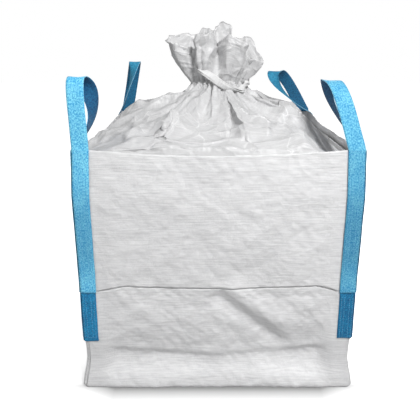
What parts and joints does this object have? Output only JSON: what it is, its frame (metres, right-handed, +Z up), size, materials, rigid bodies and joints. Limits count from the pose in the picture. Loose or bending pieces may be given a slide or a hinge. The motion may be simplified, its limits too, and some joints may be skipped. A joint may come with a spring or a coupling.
{
  "type": "bulk bag",
  "caption": "Woven square bulk bag with folding corner lifting loops, webbing straps sewn down its corners and a gathered skirt top tied shut",
  "frame": {"origin": "middle of the underside, on the ground", "axes": "+X right, -Y front, +Z up; the gathered top points along +Z"},
  "size_m": [0.94, 0.94, 1.232],
  "materials": {
    "woven_fabric": "white woven tape fabric",
    "skirt_cloth": "thin white coated woven cloth",
    "tie_tape": "soft white tape",
    "webbing_light": "light blue woven webbing",
    "webbing_dark": "dark blue woven webbing",
    "thread": "pale sewing thread"
  },
  "bodies": {
    "bag": {"base_panel": "woven_fabric", "base_stitching_front": "thread", "base_stitching_left": "thread", "base_stitching_rear": "thread", "base_stitching_right": "thread", "corner_stitching_front": "thread", "corner_stitching_left": "thread", "corner_stitching_rear": "thread", "corner_stitching_right": "thread", "front_panel": "woven_fabric", "front_strap_end_front_left": "webbing_dark", "front_strap_end_front_right": "webbing_dark", "front_strap_front_left": "webbing_light", "front_strap_front_right": "webbing_light", "front_strap_stitching_front_left": "thread", "front_strap_stitching_front_right": "thread", "left_panel": "woven_fabric", "left_strap_end_front_left": "webbing_dark", "left_strap_end_rear_left": "webbing_dark", "left_strap_front_left": "webbing_light", "left_strap_rear_left": "webbing_light", "left_strap_stitching_front_left": "thread", "left_strap_stitching_rear_left": "thread", "rear_panel": "woven_fabric", "rear_strap_end_rear_left": "webbing_dark", "rear_strap_end_rear_right": "webbing_dark", "rear_strap_rear_left": "webbing_light", "rear_strap_rear_right": "webbing_light", "rear_strap_stitching_rear_left": "thread", "rear_strap_stitching_rear_right": "thread", "right_panel": "woven_fabric", "right_strap_end_front_right": "webbing_dark", "right_strap_end_rear_right": "webbing_dark", "right_strap_front_right": "webbing_light", "right_strap_rear_right": "webbing_light", "right_strap_stitching_front_right": "thread", "right_strap_stitching_rear_right": "thread", "rim_stitching_front": "thread", "rim_stitching_left": "thread", "rim_stitching_rear": "thread", "rim_stitching_right": "thread", "top_skirt": "skirt_cloth"},
    "loop_front_left": {"lifting_loop_front_left": "webbing_light", "loop_bend_front_left": "webbing_light"},
    "loop_front_right": {"lifting_loop_front_right": "webbing_light", "loop_bend_front_right": "webbing_light"},
    "loop_rear_left": {"lifting_loop_rear_left": "webbing_light", "loop_bend_rear_left": "webbing_light"},
    "loop_rear_right": {"lifting_loop_rear_right": "webbing_light", "loop_bend_rear_right": "webbing_light"},
    "gathered_neck": {"skirt_neck": "skirt_cloth", "tie_tape": "tie_tape"},
    "tuft": {"skirt_tuft": "skirt_cloth"}
  },
  "joints": [
    {"name": "fold_loop_front_left", "type": "hinge", "parent": "bag", "child": "loop_front_left", "pos_m": [-0.453, -0.453, 0.85], "axis": [0.7071, -0.7071, 0], "range_deg": [-20, 150], "deforming": ["loop_bend_front_left"]},
    {"name": "fold_loop_front_right", "type": "hinge", "parent": "bag", "child": "loop_front_right", "pos_m": [0.453, -0.453, 0.85], "axis": [0.7071, 0.7071, 0], "range_deg": [-20, 150], "deforming": ["loop_bend_front_right"]},
    {"name": "fold_loop_rear_left", "type": "hinge", "parent": "bag", "child": "loop_rear_left", "pos_m": [-0.453, 0.453, 0.85], "axis": [-0.7071, -0.7071, 0], "range_deg": [-20, 150], "deforming": ["loop_bend_rear_left"]},
    {"name": "fold_loop_rear_right", "type": "hinge", "parent": "bag", "child": "loop_rear_right", "pos_m": [0.453, 0.453, 0.85], "axis": [-0.7071, 0.7071, 0], "range_deg": [-20, 150], "deforming": ["loop_bend_rear_right"]},
    {"name": "press_neck_down", "type": "slide", "parent": "bag", "child": "gathered_neck", "axis": [0, 0, -1], "range_m": [-0.03, 0.11], "deforming": ["top_skirt"]},
    {"name": "lean_tuft", "type": "hinge", "parent": "gathered_neck", "child": "tuft", "pos_m": [0, 0, 1], "axis": [0, 1, 0], "range_deg": [-15, 15]}
  ]
}
